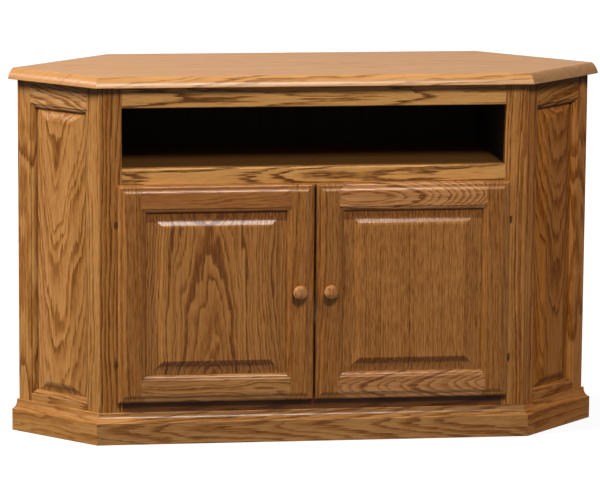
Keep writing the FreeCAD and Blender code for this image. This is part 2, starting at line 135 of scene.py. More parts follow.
def noise(tree, vector, scale, detail=2.0, roughness=0.5):
    node = add(tree, "TexNoise", Scale=1.0, Detail=detail, Roughness=roughness)
    tree.links.new(stretch(tree, vector, scale), node.inputs["Vector"])
    return node.outputs["Fac"]


def swing(tree, vector, scale, detail=2.0, roughness=0.5):
    # the same noise about zero, reaching about one either way
    return calc(tree, "MULTIPLY_ADD", noise(tree, vector, scale, detail, roughness), 4.0, -2.0)


def luckOf(tree, number):
    return add(tree, "TexWhiteNoise", {"noise_dimensions": "1D"}, W=number).outputs


def ramp(tree, value, low, high):
    node = add(tree, "MapRange", {"interpolation_type": "SMOOTHSTEP"})
    for socket, term in zip(node.inputs, (value, low, high, 0.0, 1.0)):
        feed(tree, socket, term)
    return node.outputs[0]


def split(tree, vector):
    return add(tree, "SeparateXYZ", Vector=vector).outputs


def rgba(colour):
    return (*colour, 1.0)


def grey(level):
    return rgba((level, level, level))


def newGroup(name, inputs, outputs):
    tree = bpy.data.node_groups.new(name, "ShaderNodeTree")
    for socket, kind, value in inputs:
        made = tree.interface.new_socket(socket, in_out="INPUT", socket_type="NodeSocket" + kind)
        made.default_value = value
    for socket, kind in outputs:
        tree.interface.new_socket(socket, in_out="OUTPUT", socket_type="NodeSocket" + kind)
    return tree, tree.nodes.new("NodeGroupInput").outputs, tree.nodes.new("NodeGroupOutput").inputs


def newMaterial(name):
    material = bpy.data.materials.new(name)
    material.use_nodes = True
    material.node_tree.nodes.clear()
    return material, material.node_tree


def place(node, material):
    nodes[node].material_slots[0].material = material


bevelSamples = 4

# cells are noise cells to the metre along, across and through the board; ranges are where a mask goes from 0 to 1
oakGrain = {
    "fibreCells": (5.0, 270.0, 270.0), "dashCells": (38.0, 330.0, 330.0), "poreCells": (45.0, 1500.0, 1500.0),
    "swayCells": (2.2, 9.0, 9.0), "rippleCells": (11.0, 45.0, 45.0), "rippleShare": 0.22,
    "patchCells": (2.5, 20.0, 20.0),
    "driftCells": 0.7, "driftYears": 1.2,               # wide years and narrow ones
    # darkness of a year from its first wood to its last
    "yearFade": ((0.0, 0.75), (0.05, 1.0), (0.24, 0.85), (0.42, 0.25), (0.70, 0.0), (1.0, 0.05)),
    "luckSpan": (0.6, 0.5), "dashSpan": (0.35, 0.9), "poreSpan": (0.75, 0.25),     # spread and start of a factor
    "staveLimit": 5.0, "staveAcross": 0.09, "staveThrough": 0.05, "staveAlong": 9.0, "staveTone": 0.22,
    "poreRange": (0.54, 0.66), "endRange": (0.03, 0.18), "lipRange": (-0.001, 0.001),
    "stepRange": (0.1, 0.22), "fieldRange": (-0.005, 0.002),
    "depthStart": 0.18, "dashTone": 0.5, "warmRange": (-0.1, 0.6), "darkRange": (0.35, 1.1),
    "poreTint": (0.45, 0.4, 0.35), "poreGloss": 0.25, "earlyGloss": 0.05, "earlyDip": 0.35,
}


# oak as growth rings in space: X runs along the grain, the pith lies at Pith in Y and Z.
# ring number = (distance from the pith + taper x + bow (x - crown)^2 + slow wander) / ring spacing,
# each ring starts dark and porous and fades to pale, so arches, flames and straight grain come from the cut
def makeOak(grain):
    floats = {
        "Seed": 0.0, "Crown": 0.0, "Bow": 0.0, "Spacing": 0.008, "Taper": 0.05, "Wander": 0.02, "Ragged": 0.15,
        "Figure": 0.6, "Fibre": 0.2, "Blotch": 0.15, "Pores": 0.3, "Stave": 10.0, "Ends": 0.3, "Lip": 10.0,
        "PaintedShade": 0.0, "Thin": 1.0,
    }
    vectors = {"Vector": (0, 0, 0), "Facing": (0, 0, 1), "Pith": (0, 0, 0.06)}
    colours = {"Pale": (0.4, 0.19, 0.06, 1), "Warm": (0.23, 0.09, 0.02, 1), "Dark": (0.1, 0.03, 0.005, 1)}
    tree, given, out = newGroup(
        "oakBoard",
        [(name, kind, value) for kind, group in (("Vector", vectors), ("Color", colours), ("Float", floats))
         for name, value in group.items()],
        [("Color", "Color"), ("Roughness", "Float"), ("Height", "Float")])
    spot, pith = split(tree, given["Vector"]), split(tree, given["Pith"])
    # glued staves: each has its own piece of log and its own tone
    number = calc(tree, "FLOOR", calc(tree, "ADD", calc(tree, "DIVIDE", spot[1], given["Stave"]), 0.5))
    draws = luckOf(tree, calc(tree, "ADD", number, given["Seed"]))
    draw = add(tree, "SeparateColor", Color=draws["Color"]).outputs
    isStave = calc(tree, "LESS_THAN", given["Stave"], grain["staveLimit"])
    centred = [calc(tree, "MULTIPLY", isStave, calc(tree, "SUBTRACT", d, 0.5)) for d in draw]
    across = calc(tree, "SUBTRACT", spot[1], calc(tree, "MULTIPLY", number, given["Stave"]))
    across = calc(tree, "MULTIPLY_ADD", centred[0], grain["staveAcross"], across)
    across = calc(tree, "SUBTRACT", across, pith[1])
    through = calc(tree, "MULTIPLY_ADD", centred[1], grain["staveThrough"], spot[2])
    through = calc(tree, "SUBTRACT", through, pith[2])
    along = calc(tree, "MULTIPLY_ADD", centred[2], grain["staveAlong"], spot[0])
    along = calc(tree, "ADD", along, given["Seed"])
    log = add(tree, "CombineXYZ", X=along, Y=across, Z=through).outputs[0]
    fibre = swing(tree, log, grain["fibreCells"], 3.0, 0.65)
    dashes = swing(tree, log, grain["dashCells"], 2.0, 0.6)
    squares = [calc(tree, "POWER", term, 2.0) for term in (across, through)]
    radius = calc(tree, "SQRT", calc(tree, "ADD", *squares))
    fromCrown = calc(tree, "ABSOLUTE", calc(tree, "SUBTRACT", spot[0], given["Crown"]))
    fromCrown = calc(tree, "POWER", fromCrown, 2.0)
    ripple = swing(tree, log, grain["rippleCells"], 1.0)
    sway = calc(tree, "MULTIPLY_ADD", ripple, grain["rippleShare"], swing(tree, log, grain["swayCells"], 1.0))
    for term, weight in ((spot[0], given["Taper"]), (fromCrown, given["Bow"]), (sway, given["Wander"])):
        radius = calc(tree, "MULTIPLY_ADD", term, weight, radius)
    ring = calc(tree, "ADD", calc(tree, "DIVIDE", radius, given["Spacing"]), given["Seed"])
    drift = add(tree, "TexNoise", {"noise_dimensions": "1D"}, W=ring, Scale=grain["driftCells"], Detail=1.0)
    ring = calc(tree, "MULTIPLY_ADD", drift.outputs["Fac"], grain["driftYears"], ring)
    ring = calc(tree, "MULTIPLY_ADD", fibre, given["Ragged"], ring)
    year = calc(tree, "FLOOR", ring)
    fade = add(tree, "ValToRGB", Fac=calc(tree, "SUBTRACT", ring, year))
    stops = fade.color_ramp.elements
    first, *middle, last = grain["yearFade"]
    stops[0].position, stops[0].color = first[0], grey(first[1])
    stops[1].position, stops[1].color = last[0], grey(last[1])
    for position, level in middle:
        stops.new(position).color = grey(level)
    # above one, Thin makes the dark part a thinner line
    early = calc(tree, "POWER", fade.outputs["Color"], given["Thin"])
    early = calc(tree, "MULTIPLY", early, calc(tree, "MULTIPLY_ADD", luckOf(tree, year)["Value"], *grain["luckSpan"]))
    early = calc(tree, "MULTIPLY", early, calc(tree, "MULTIPLY_ADD", dashes, *grain["dashSpan"]))
    # fine pores, shown from close by
    pore = ramp(tree, noise(tree, log, grain["poreCells"], 2.0), *grain["poreRange"])
    pore = calc(tree, "MULTIPLY", pore, calc(tree, "MULTIPLY_ADD", early, *grain["poreSpan"]))
    poreShare = calc(tree, "MULTIPLY", pore, given["Pores"])
    # cut ends drink more stain
    facingAlong = split(tree, given["Facing"])[0]
    endGrain = ramp(tree, calc(tree, "ABSOLUTE", facingAlong), *grain["endRange"])
    # painted shade past the lip, near the upper end of a panel under its rail, and a painted shadow on the step below
    # its field
    pastLip = ramp(tree, calc(tree, "SUBTRACT", spot[0], given["Lip"]), *grain["lipRange"])
    step = ramp(tree, calc(tree, "MULTIPLY", facingAlong, -1.0), *grain["stepRange"])
    nearField = ramp(tree, calc(tree, "ADD", spot[0], given["Lip"]), *grain["fieldRange"])
    paintedShadeMask = calc(tree, "MULTIPLY_ADD", step, nearField, pastLip)
    patches = swing(tree, log, grain["patchCells"], 2.0)
    dashWeight = calc(tree, "MULTIPLY", given["Pores"], grain["dashTone"])
    depth = calc(tree, "MULTIPLY_ADD", early, given["Figure"], grain["depthStart"])
    for term, weight in ((fibre, given["Fibre"]), (dashes, dashWeight), (patches, given["Blotch"]),
                         (centred[0], grain["staveTone"]), (endGrain, given["Ends"]), (paintedShadeMask, given["PaintedShade"])):
        depth = calc(tree, "MULTIPLY_ADD", term, weight, depth)
    colour = blend(tree, ramp(tree, depth, *grain["warmRange"]), given["Pale"], given["Warm"])
    colour = blend(tree, ramp(tree, depth, *grain["darkRange"]), colour, given["Dark"])
    poreColour = blend(tree, 1.0, given["Dark"], rgba(grain["poreTint"]), "MULTIPLY")
    feed(tree, out["Color"], blend(tree, poreShare, colour, poreColour))
    dull = calc(tree, "MULTIPLY", early, grain["earlyGloss"])
    feed(tree, out["Roughness"], calc(tree, "MULTIPLY_ADD", poreShare, grain["poreGloss"], dull))
    dip = calc(tree, "MULTIPLY_ADD", early, grain["earlyDip"], poreShare)
    feed(tree, out["Height"], calc(tree, "MULTIPLY", dip, -1.0))
    return tree


# one inside a box, nothing outside it: for darkening the bay's side of a board (painted shade on its walls and back,
# dark brown on its shelf)
def makeBoxMask():
    inputs = [(name, "Vector", (0, 0, 0)) for name in ("Vector", "Low", "High")]
    tree, given, out = newGroup("boxMask", inputs, [("Mask", "Float")])
    spot, low, high = (split(tree, given[name]) for name in ("Vector", "Low", "High"))
    mask = 1.0
    for axis in range(3):
        mask = calc(tree, "MULTIPLY", calc(tree, "GREATER_THAN", spot[axis], low[axis]), mask)
        mask = calc(tree, "MULTIPLY", calc(tree, "LESS_THAN", spot[axis], high[axis]), mask)
    feed(tree, out["Mask"], mask)
    return tree


plyEdge = {
    "layer": 0.0014, "start": 0.5, "oddShare": 0.4, "luckShare": 0.25, "speckShare": 0.12,
    "speckCells": (160.0, 160.0, 900.0), "faceRange": (0.3, 0.7),
}


# layers of plywood, shown where the board's edge faces out; Z runs through the board
def makePlyLayers(look):
    inputs = [("Vector", "Vector", (0, 0, 0)), ("Facing", "Vector", (0, 0, 1)), ("Layer", "Float", look["layer"])]
    tree, given, out = newGroup("plyLayers", inputs, [("Edge", "Float"), ("Tone", "Float")])
    number = calc(tree, "FLOOR", calc(tree, "DIVIDE", split(tree, given["Vector"])[2], given["Layer"]))
    tone = calc(tree, "MULTIPLY_ADD", calc(tree, "PINGPONG", number, 1.0), look["oddShare"], look["start"])
    tone = calc(tree, "MULTIPLY_ADD", luckOf(tree, number)["Value"], look["luckShare"], tone)
    speck = swing(tree, given["Vector"], look["speckCells"], 2.0)
    feed(tree, out["Tone"], calc(tree, "MULTIPLY_ADD", speck, look["speckShare"], tone))
    upright = calc(tree, "ABSOLUTE", split(tree, given["Facing"])[2])
    feed(tree, out["Edge"], calc(tree, "SUBTRACT", 1.0, ramp(tree, upright, *look["faceRange"])))
    return tree


oakBoard, boxMask, plyLayers = makeOak(oakGrain), makeBoxMask(), makePlyLayers(plyEdge)


# lacquered board: the group turned and centred on its own board, with softened edges
def boardMatrix(run, turn):
    # rows are the grain, the way across the face and the way through the board
    t = math.radians(turn)
    level, outward = Vector((math.cos(t), math.sin(t), 0)), Vector((math.sin(t), -math.cos(t), 0))
    if run == "z":
        return Matrix((Vector((0, 0, 1)), level, -outward))
    if run == "x":
        return Matrix((level, Vector((0, 0, 1)), outward))
    return Matrix((Vector((1, 0, 0)), Vector((0, 1, 0)), Vector((0, 0, 1))))


oakTones = {"Pale": (0.330, 0.143, 0.036), "Warm": (0.205, 0.071, 0.0115), "Dark": (0.098, 0.028, 0.003)}
goldTones = {"Pale": (0.50, 0.245, 0.072), "Warm": (0.34, 0.15, 0.036), "Dark": (0.105, 0.036, 0.006)}
# painted shade: the bay's walls and back are blackened where the bay lies in deep shade; its shelf is darkened to
# dark brown
bayPaintedShade = {"colour": (0.004, 0.004, 0.004), "cover": 0.97, "dulled": 0.3}
bayBrown = {"colour": (0.036, 0.014, 0.0025), "cover": 0.8, "dulled": 0.3}
bayRoom = 0.0005        # the darkening reaches this far into the bay's walls
bayLow = Vector((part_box("left_partition")[1].x - bayRoom, cadBox[0][1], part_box("bay_shelf")[0].z + bayRoom))
bayHigh = Vector((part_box("right_partition")[0].x + bayRoom,
                  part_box("back_panel")[0].y + bayRoom, cadBox[1][2]))

# what a board has unless its own dictionary says otherwise; the first dictionary goes to the oak group's inputs
plainFigure = {
    "seed": 0.0, "spacing": 0.0065, "taper": 0.03, "wander": 0.008, "ragged": 0.2, "figure": 0.75, "fibre": 0.24,
    "blotch": 0.1, "pores": 0.35, "stave": 10.0, "ends": 0.3, "thin": 1.0,
}
plainBoard = {
    "run": "z", "turn": 0, "crown": (0.0, 0.0), "pith": (0.03, 0.05), "tones": oakTones, "tint": (1, 1, 1),
    "shade": 1.0, "satin": 0.2, "shine": 0.1, "ease": 0.0012, "bump": 0.25, "bumpDepth": 0.0004,
}


def dressBoard(own):
    look = {**plainFigure, **plainBoard, **own}
    low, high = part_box(look["node"])
    material, tree = newMaterial(look["node"])
    turn = boardMatrix(look["run"], look["turn"])
    rotation, shift = turn.to_euler(), -(turn @ ((low + high) / 2))
    coords = add(tree, "TexCoord").outputs
    spot = add(tree, "Mapping", Vector=coords["Object"], Location=shift, Rotation=rotation).outputs[0]
    facing = add(tree, "Mapping", {"vector_type": "VECTOR"}, Vector=coords["Normal"], Rotation=rotation).outputs[0]
    crown, bow = look["crown"]
    oak = add(tree, "Group", {"node_tree": oakBoard}, Vector=spot, Facing=facing, Crown=crown, Bow=bow)
    oak.inputs["Pith"].default_value = (0, *look["pith"])
    for key in plainFigure:
        oak.inputs[key.capitalize()].default_value = look[key]
    # painted shade under the panel's upper rail and painted shadow below its field
    if "lip" in look:
        oak.inputs["Lip"].default_value = (high.z - low.z) / 2 - look["lip"][0]
        oak.inputs["PaintedShade"].default_value = look["lip"][1]
    for key, tone in look["tones"].items():
        oak.inputs[key].default_value = rgba([a * b * look["shade"] for a, b in zip(tone, look["tint"])])
    colour = oak.outputs["Color"]
    gloss = calc(tree, "ADD", oak.outputs["Roughness"], look["satin"])
    if "calm" in look:          # the figure is quiet where the edge turns across the grain
        calm = look["calm"]
        turned = ramp(tree, calc(tree, "ABSOLUTE", split(tree, facing)[0]), *calm["range"])
        colour = blend(tree, calc(tree, "MULTIPLY", turned, calm["share"]), colour, rgba(calm["colour"]))
    if "dullAndPaintedSheen" in look:          # the upper side is duller (rougher) than the edges, with painted sheen: its colour is blended to an even, less saturated tone
        dullAndPaintedSheen = look["dullAndPaintedSheen"]
        level = ramp(tree, split(tree, facing)[2], *dullAndPaintedSheen["range"])
        gloss = calc(tree, "MULTIPLY_ADD", level, dullAndPaintedSheen["dulled"], gloss)
        colour = blend(tree, calc(tree, "MULTIPLY", level, dullAndPaintedSheen["share"]), colour, rgba(dullAndPaintedSheen["colour"]))
    if "layers" in look:
        ply = add(tree, "Group", {"node_tree": plyLayers}, Vector=spot, Facing=facing)
        cutEdge = blend(tree, ply.outputs["Tone"], *(rgba(tone) for tone in look["layers"]))
        colour = blend(tree, ply.outputs["Edge"], colour, cutEdge)
    # the bay's side of the board darkened: painted shade on the walls and back, dark brown on the shelf
    if "bayDarkening" in look:
        bayDarkening = look["bayDarkening"]
        coat = add(tree, "Group", {"node_tree": boxMask}, Vector=coords["Object"], Low=bayLow, High=bayHigh)
        cover = calc(tree, "MULTIPLY", coat.outputs["Mask"], bayDarkening["cover"])
        colour = blend(tree, cover, colour, rgba(bayDarkening["colour"]))
        gloss = calc(tree, "MULTIPLY_ADD", cover, bayDarkening["dulled"], gloss)
    eased = add(tree, "Bevel", {"samples": bevelSamples}, Radius=look["ease"])
    bump = add(tree, "Bump", Strength=look["bump"], Distance=look["bumpDepth"], Height=oak.outputs["Height"],
               Normal=eased.outputs[0])
    lacquer = add(tree, "BsdfPrincipled", Base_Color=colour, Roughness=gloss, Normal=bump.outputs[0])
    lacquer.inputs["Specular IOR Level"].default_value = look["shine"]
    feed(tree, add(tree, "OutputMaterial").inputs["Surface"], lacquer.outputs[0])
    place(look["node"], material)
    return material


# tints lean a board to gold, red or brown
goldTint, redTint, brownTint = (1.0, 1.08, 1.25), (1.0, 0.94, 0.85), (1.0, 0.95, 1.0)

dressBoard({
    "node": "top_panel", "run": "lie", "tones": goldTones, "tint": (1.0, 1.0, 1.15), "shade": 0.81,
    "stave": 0.105, "pith": (0.01, 0.01), "spacing": 0.012, "taper": 0.09, "wander": 0.016, "ragged": 0.22,
    "figure": 0.62, "thin": 2.2, "pores": 0.2, "fibre": 0.1, "ends": 0.0, "satin": 0.22, "shine": 0.13,
    "calm": {"share": 0.65, "colour": (0.26, 0.113, 0.031), "range": (0.2, 0.5)},
    # painted sheen on the upper side: colour blended to an even tone, and a rougher finish
    "dullAndPaintedSheen": {"share": 0.72, "colour": (0.258, 0.129, 0.052), "range": (0.9, 0.98), "dulled": 0.3},
})

# face frame: gold rails with a few dark flames, streaked stiles
goldRail = {
    "run": "x", "tones": goldTones, "spacing": 0.011, "wander": 0.014, "ragged": 0.3, "figure": 1.15,
    "fibre": 0.1, "thin": 2.4,
}
dressBoard({**goldRail, "node": "face_top_rail", "seed": 14.6, "pith": (-0.004, 0.020), "spacing": 0.015,
            "taper": 0.06, "thin": 3.0, "shade": 1.06})
dressBoard({**goldRail, "node": "face_shelf_rail", "seed": 4.1, "pith": (0.003, 0.022), "taper": -0.05})
# the bottom rail, in the doors' shadow, has a much darker tone than the other boards
dressBoard({"node": "face_bottom_rail", "run": "x", "seed": 6.3, "shade": 0.40, "tint": (1.0, 0.80, 0.6)})
faceStile = {"pith": (0.09, 0.04), "spacing": 0.0085, "taper": 0.01, "figure": 0.9, "ragged": 0.25}
dressBoard({**faceStile, "node": "left_face_stile", "seed": 2.2, "shade": 0.95, "tint": (1.0, 0.98, 0.85)})
dressBoard({**faceStile, "node": "right_face_stile", "seed": 7.7, "shade": 1.15})

# wings: straight front stiles, mottled rear stiles, slanting figure on the top rails, arches on the panels
leftWing = {
    "side": "left", "turn": -45, "seed": 11.0, "lean": 0.2, "shine": 0.06, "shade": 0.97,
    "tint": goldTint, "panelTint": goldTint, "railTint": (1.0, 1.2, 1.9),
}
rightWing = {
    "side": "right", "turn": 45, "seed": 23.0, "lean": -0.2, "shine": 0.015, "shade": 1.2,
    "tint": brownTint, "panelTint": (0.85, 0.74, 0.62), "railTint": (0.80, 0.77, 0.70),
}


def dressWing(wing):
    name, seed, shade = wing["side"] + "_", wing["seed"], wing["shade"]
    common = {"turn": wing["turn"], "tint": wing["tint"], "shine": wing["shine"], "shade": shade, "ends": 0.0}
    dressBoard({**common, "node": name + "wing_front_stile", "seed": seed, "pith": (0.07, 0.04),
                "taper": 0.01, "spacing": 0.009, "ragged": 0.3, "shade": 0.93 * shade})
    dressBoard({**common, "node": name + "wing_rear_stile", "seed": seed + 1.7, "pith": (0.0, 0.03),
                "taper": 0.04, "wander": 0.015, "spacing": 0.009})
    dressBoard({**common, "node": name + "wing_bottom_rail", "run": "x", "seed": seed + 3.1, "shade": 0.87 * shade})
    dressBoard({**common, "node": name + "wing_top_rail", "run": "x", "seed": seed + 4.9, "pith": (-0.08, 0.03),
                "taper": wing["lean"], "spacing": 0.010, "wander": 0.015, "figure": 0.95,
                "tint": wing["railTint"], "shade": 1.14 * shade})
    dressBoard({**common, "node": name + "wing_panel", "seed": seed + 6.2, "pith": (0.0, 0.03), "taper": -0.12,
                "spacing": 0.009, "wander": 0.012, "figure": 0.7, "fibre": 0.2, "tint": wing["panelTint"]})
    dressBoard({**common, "node": name + "base_wing", "run": "x", "seed": seed + 8.8, "figure": 0.5,
                "wander": 0.02, "spacing": 0.012, "ease": 0.0006, "shade": 0.93 * shade})


dressWing(leftWing)
dressWing(rightWing)
dressBoard({"node": "base_front", "run": "x", "seed": 31.0, "pith": (0.0, 0.02), "figure": 0.8, "ragged": 0.3,
            "taper": -0.13, "wander": 0.014, "spacing": 0.012, "thin": 2.0, "tint": goldTint, "satin": 0.16,
            "shine": 0.13, "ease": 0.0006, "shade": 1.02})

# doors: quiet red stiles; the rails and panels differ from door to door
doorStile = {"tint": redTint, "figure": 0.35, "fibre": 0.16, "pores": 0.6, "ends": 0.0}
for side, seed, shade in (("left", 41.0, 0.88), ("right", 53.0, 0.80)):
    dressBoard({**doorStile, "node": side + "_door_meeting_stile", "seed": seed, "pith": (0.11, 0.05),
                "shade": shade})
    dressBoard({**doorStile, "node": side + "_door_hinge_stile", "seed": seed + 1.9, "pith": (-0.12, 0.05),
                "shade": 0.82})
doorRail = {"run": "x", "satin": 0.16, "shine": 0.13}
dressBoard({**doorRail, "node": "left_door_top_rail", "seed": 46.2, "figure": 0.4, "wander": 0.015,
            "tint": (1.0, 0.88, 0.75), "shade": 0.88})
dressBoard({**doorRail, "node": "left_door_bottom_rail", "seed": 44.4, "wander": 0.02, "tint": goldTint,
            "shade": 1.03})
ringRail = {**doorRail, "pith": (0.0, 0.02), "spacing": 0.008, "tint": (1.0, 1.05, 1.4)}
dressBoard({**ringRail, "node": "right_door_top_rail", "seed": 58.2, "crown": (-0.086, 1.5), "figure": 0.9,
            "shade": 1.25})
dressBoard({**ringRail, "node": "right_door_bottom_rail", "seed": 56.4, "taper": -0.3, "figure": 0.8,
            "shade": 1.13, "shine": 0.15})
doorPanel = {"ends": 0.0, "lip": (0.0265, 0.4), "satin": 0.13}      # lip: from the panel's upper end, and the weight of the painted shade there and of the painted shadow below the field
dressBoard({**doorPanel, "node": "left_door_panel", "seed": 48.3, "pith": (-0.012, 0.035), "taper": 0.05,
            "wander": 0.014, "figure": 0.8, "shine": 0.11, "tint": (1.0, 0.98, 0.9)})
dressBoard({**doorPanel, "node": "right_door_panel", "seed": 60.3, "pith": (0.26, 0.05), "taper": 0.0,
            "wander": 0.005, "figure": 0.4, "spacing": 0.005, "pores": 0.7, "fibre": 0.18, "blotch": 0.08,
            "shine": 0.10, "shade": 0.96, "tint": (1.0, 0.96, 0.85)})

# sheet goods: oak faced plywood inside, thin plywood behind, planed softwood cleats
plyTones = ((0.20, 0.105, 0.042), (0.42, 0.27, 0.13))
innerPly = {"pith": (0.0, 0.05), "wander": 0.02, "figure": 0.45, "satin": 0.4, "layers": plyTones}
# painted shade: the partitions are blackened inside the bay
for node in ("left_partition", "right_partition"):
    dressBoard({**innerPly, "node": node, "turn": 90, "seed": 61.0, "bayDarkening": bayPaintedShade})
dressBoard({**innerPly, "node": "bay_shelf", "run": "lie", "seed": 66.0, "bayDarkening": bayBrown})
dressBoard({**innerPly, "node": "cabinet_floor", "run": "lie", "seed": 67.4})
dressBoard({**innerPly, "node": "loose_shelf", "run": "lie", "seed": 69.0})
backPly = {
    "tones": {"Pale": (0.47, 0.30, 0.15), "Warm": (0.38, 0.215, 0.092), "Dark": (0.22, 0.105, 0.036)},
    "pith": (0.0, 0.06), "spacing": 0.016, "wander": 0.03, "taper": 0.02, "figure": 0.5, "satin": 0.55,
    "shine": 0.25, "layers": plyTones,
}
# painted shade: the back panel is blackened inside the bay
dressBoard({**backPly, "node": "back_panel", "seed": 71.0, "bayDarkening": bayPaintedShade})
for node, turn in (("left_angled_back", 45), ("right_angled_back", -45)):
    dressBoard({**backPly, "node": node, "turn": turn, "seed": 71.0 + turn})
cleat = {
    "run": "x", "tones": {"Pale": (0.56, 0.37, 0.17), "Warm": (0.50, 0.28, 0.10), "Dark": (0.33, 0.15, 0.045)},
    "spacing": 0.004, "figure": 0.7, "pores": 0.05, "satin": 0.5, "shine": 0.25,
}
for node, turn in (("left_top_cleat", -45), ("right_top_cleat", 45), ("rear_cleat", 0)):
    dressBoard({**cleat, "node": node, "turn": turn, "seed": 81.0 + turn})
print("boards dressed")


# hardware: scuffs and specks shared by the metal, the moulded and the felt pieces
scuffing = {"broadCells": (1.0, 1.0, 1.0), "fineCells": (6.0, 6.0, 6.0), "range": (0.42, 0.68)}


def makeScuffs(look):
    inputs = [("Vector", "Vector", (0, 0, 0)), ("Size", "Float", 0.002)]
    tree, given, out = newGroup("scuffs", inputs, [("Mask", "Float"), ("Fine", "Float")])
    scaled = add(tree, "VectorMath", {"operation": "SCALE"})
    feed(tree, scaled.inputs[0], given["Vector"])
    feed(tree, scaled.inputs["Scale"], calc(tree, "DIVIDE", 1.0, given["Size"]))
    broad = noise(tree, scaled.outputs[0], look["broadCells"], 3.0, 0.6)
    feed(tree, out["Mask"], ramp(tree, broad, *look["range"]))
    feed(tree, out["Fine"], noise(tree, scaled.outputs[0], look["fineCells"], 2.0))
    return tree


scuffs = makeScuffs(scuffing)
plainHardware = {"metal": 0.0, "shine": 0.5, "ease": 0.0004, "bumpDepth": 0.0002}


def dressHardware(own):
    look = {**plainHardware, **own}
    material, tree = newMaterial(look["name"])
    spot = add(tree, "TexCoord").outputs["Object"]
    worn = add(tree, "Group", {"node_tree": scuffs}, Vector=spot, Size=look["size"]).outputs
    colour = blend(tree, worn["Mask"], rgba(look["colour"]), rgba(look["worn"]))
    smooth, rough = look["roughness"]
    gloss = calc(tree, "MULTIPLY_ADD", worn["Fine"], rough - smooth, smooth)
    eased = add(tree, "Bevel", {"samples": bevelSamples}, Radius=look["ease"])
    bump = add(tree, "Bump", Strength=look["bump"], Distance=look["bumpDepth"], Height=worn["Fine"],
               Normal=eased.outputs[0])
    finish = add(tree, "BsdfPrincipled", Base_Color=colour, Roughness=gloss, Normal=bump.outputs[0])
    finish.inputs["Metallic"].default_value = look["metal"]
    finish.inputs["Specular IOR Level"].default_value = look["shine"]
    feed(tree, add(tree, "OutputMaterial").inputs["Surface"], finish.outputs[0])
    for node in look["nodes"]:
        place(node, material)


def onBothDoors(*names):
    return [side + "_" + name for side in ("left", "right") for name in names]


dressHardware({
    "name": "bronzedHinge", "colour": (0.060, 0.027, 0.009), "worn": (0.100, 0.050, 0.019), "metal": 1.0,
    "roughness": (0.48, 0.68), "size": 0.003, "bump": 0.15,
    "nodes": onBothDoors("hinge_frame_leaves", "hinge_door_leaves") + ["hinge_pins"],
})
dressHardware({
    "name": "zincScrews", "colour": (0.50, 0.49, 0.46), "worn": (0.62, 0.61, 0.59), "metal": 1.0,
    "roughness": (0.26, 0.46), "size": 0.0015, "bump": 0.2,
    "nodes": onBothDoors("hinge_door_screws", "knob_screw", "strike_plate")
    + ["hinge_frame_screws", "cleat_screws", "shelf_pegs"],
})
dressHardware({
    "name": "catchHousing", "colour": (0.110, 0.062, 0.030), "worn": (0.150, 0.088, 0.046),
    "roughness": (0.5, 0.72), "shine": 0.2, "size": 0.004, "bump": 0.3, "nodes": ["door_catches"],
})
dressHardware({
    "name": "bumperFelt", "colour": (0.130, 0.075, 0.040), "worn": (0.230, 0.145, 0.085),
    "roughness": (0.85, 1.0), "size": 0.0008, "bump": 1.0, "nodes": onBothDoors("door_bumpers"),
})
print("hardware dressed")


# turned knob: a smooth outline of radius and height shares, turned about the screw's axis; bore is radius and depth
knobTurning = {
    "outline": ((0.58, 0.0), (0.585, 0.035), (0.52, 0.10), (0.46, 0.22), (0.53, 0.34), (0.76, 0.44), (0.95, 0.54),
                (1.0, 0.66), (0.95, 0.79), (0.78, 0.90), (0.48, 0.97), (0.20, 0.995), (0.0, 1.0)),
    "bore": (0.0021, 0.0122), "steps": 8, "sides": 72,
}
knobOak = {
    "pith": (0.02, 0.03), "spacing": 0.0045, "figure": 0.4, "ends": 0.1, "shade": 1.1, "tint": (1.0, 1.06, 1.5),
    "ease": 0.0006,
}


def smoothLine(points, steps):
    # Catmull-Rom line: each span blends its two ends with slopes taken from their neighbours
    p = np.asarray(points, float)
    p = np.concatenate((2 * p[:1] - p[1:2], p, 2 * p[-1:] - p[-2:-1]))
    t = np.linspace(0, 1, steps, endpoint=False)[None, :, None]
    a, b, c, d = (p[i:len(p) - 3 + i, None] for i in range(4))
    square, cube = 2 * a - 5 * b + 4 * c - d, 3 * b - a - 3 * c + d
    spans = 0.5 * (2 * b + (c - a) * t + square * t ** 2 + cube * t ** 3)
    return np.concatenate((spans.reshape(-1, 2), np.asarray(points[-1:], float)))


def turnedMesh(name, profile, centre, outward, sides):
    # point = centre + outward h + radius (cos a, sin a) square to it; both ends of the profile lie on the axis
    centre, outward = np.asarray(centre), np.asarray(outward)
    angles = np.arange(sides) * (2 * np.pi / sides)
    ring = np.stack((np.cos(angles), np.zeros(sides), np.sin(angles)), 1)
    body = profile[1:-1]
    middle = (centre + body[:, 1, None, None] * outward + body[:, 0, None, None] * ring).reshape(-1, 3)
    ends = centre + profile[[0, -1], 1, None] * outward
    verts = np.concatenate((middle, ends))
    here, ahead = np.arange(sides), (np.arange(sides) + 1) % sides
    rows = np.arange(len(body) - 1)[:, None] * sides
    corners = (rows + here, rows + sides + here, rows + sides + ahead, rows + ahead)
    quads = np.stack(corners, -1).reshape(-1, 4)
    first, last, top = len(middle), len(middle) + 1, (len(body) - 1) * sides
    fans = np.concatenate((np.stack((np.full(sides, first), here, ahead), 1),
                           np.stack((np.full(sides, last), top + ahead, top + here), 1)))
    mesh = bpy.data.meshes.new(name)
    mesh.from_pydata(verts.tolist(), [], quads.tolist() + fans.tolist())
    mesh.polygons.foreach_set("use_smooth", np.ones(len(mesh.polygons), bool))
    mesh.update()
    return mesh


